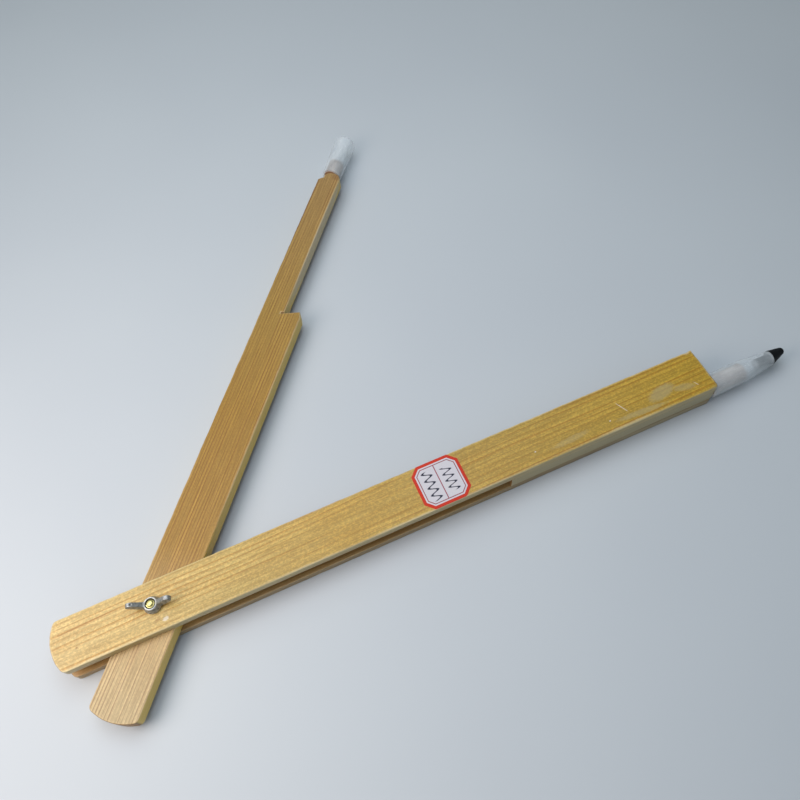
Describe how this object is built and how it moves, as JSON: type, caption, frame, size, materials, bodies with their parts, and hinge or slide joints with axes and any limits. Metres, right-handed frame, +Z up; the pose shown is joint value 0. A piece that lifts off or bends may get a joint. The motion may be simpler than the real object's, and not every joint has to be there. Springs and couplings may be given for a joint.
{
  "type": "folding blackboard compass",
  "caption": "Folding wooden board compass: slotted sheath leg with rubber foot, swing leg with chalk holder, and a wing nut pivot.",
  "frame": {"origin": "on the table, under the pivot bolt's axis", "axes": "+X along the sheath leg towards its rubber foot, +Z up along the pivot bolt; the swing leg opens towards +Y"},
  "size_m": [0.5157, 0.3921, 0.0349],
  "materials": {
    "yellow_pine": "thin clear varnish over planed pine",
    "tan_pine": "thin clear varnish over planed pine",
    "orange_pine": "thin clear varnish over planed pine",
    "peg_beech": "turned, unvarnished",
    "frosted_plastic": "frosted translucent",
    "black_rubber": "moulded satin",
    "grey_zinc": "dull tumbled zinc",
    "yellow_zinc": "yellow passivated zinc plate",
    "label_paper": "matte printed paper"
  },
  "bodies": {
    "sheath": {"lower_cheek": "tan_pine", "spacer_block": "tan_pine", "upper_cheek": "yellow_pine", "paper_label": "label_paper", "pivot_bolt": "yellow_zinc", "foot_peg": "peg_beech", "foot_sleeve": "frosted_plastic", "rubber_tip": "black_rubber"},
    "swing": {"swing_leg": "orange_pine", "chalk_peg": "peg_beech", "chalk_holder": "frosted_plastic"},
    "washer": {"nut_washer": "grey_zinc"},
    "nut": {"wing_nut": "grey_zinc"}
  },
  "joints": [
    {"name": "leg_open", "type": "hinge", "parent": "sheath", "child": "swing", "pos_m": [0, 0, 0], "axis": [0, 0, 1], "range_deg": [-49.1, 128.6]},
    {"name": "nut_turn", "type": "hinge", "parent": "sheath", "child": "washer", "pos_m": [0, 0, 0], "axis": [0, 0, 1], "range_deg": [0, 720]},
    {"name": "nut_lift", "type": "slide", "parent": "washer", "child": "nut", "axis": [0, 0, 1], "range_m": [0, 0.00161]}
  ],
  "couplings": [
    {"joint": "nut_lift", "follows": "nut_turn", "m_per_rad": 0.00012732}
  ]
}
